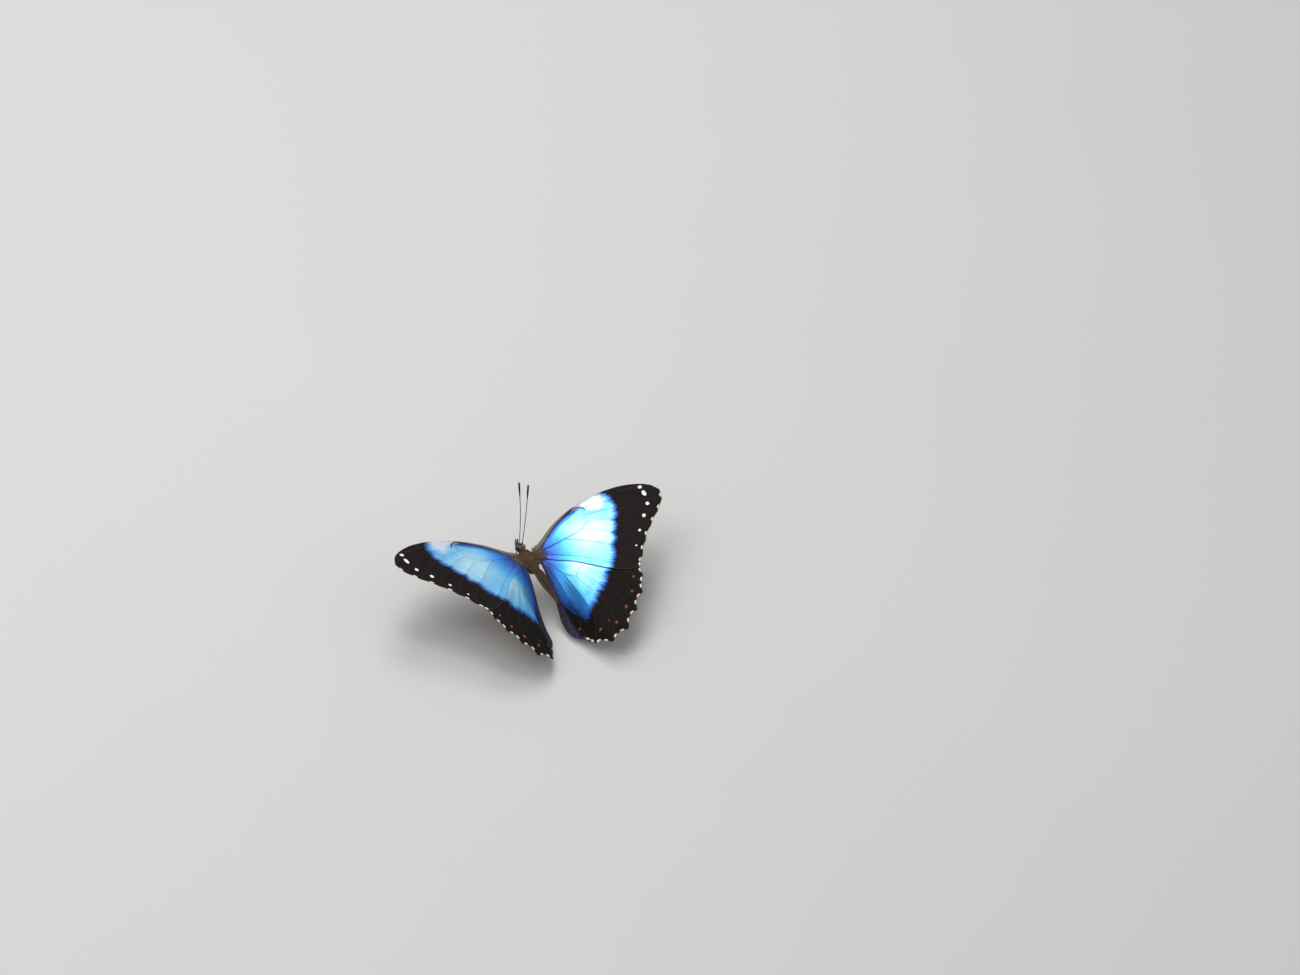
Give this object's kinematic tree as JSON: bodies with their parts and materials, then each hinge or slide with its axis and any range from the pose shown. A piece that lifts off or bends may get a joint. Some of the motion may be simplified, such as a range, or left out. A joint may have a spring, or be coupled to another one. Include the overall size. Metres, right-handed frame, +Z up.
{
  "type": "blue morpho butterfly",
  "caption": "Life-size butterfly model standing with broad blue and black wings spread in a shallow V.",
  "frame": {"origin": "on the floor, under the middle of the model's bounding box", "axes": "+Z up, head toward -Y, the animal's left toward +X (across the spread wings)"},
  "size_m": [0.1288, 0.0642, 0.0473],
  "materials": {
    "body_fur": "olive-brown hair",
    "eye": "smooth dark compound eye with a pale rim",
    "limb": "brown horny skin under short hair",
    "wing": "iridescent blue scales with a brown-black border"
  },
  "bodies": {
    "root": {"thorax": "body_fur", "head": "body_fur", "abdomen": "body_fur", "eye_left": "eye", "eye_right": "eye", "antenna_left": "limb", "antenna_right": "limb", "palp_left": "body_fur", "palp_right": "body_fur", "proboscis": "limb", "forewing_left": "wing", "forewing_right": "wing", "hindwing_left": "wing", "hindwing_right": "wing", "foreleg_left": "limb", "foreleg_right": "limb", "midleg_left": "limb", "midleg_right": "limb", "hindleg_left": "limb", "hindleg_right": "limb"}
  },
  "joints": []
}
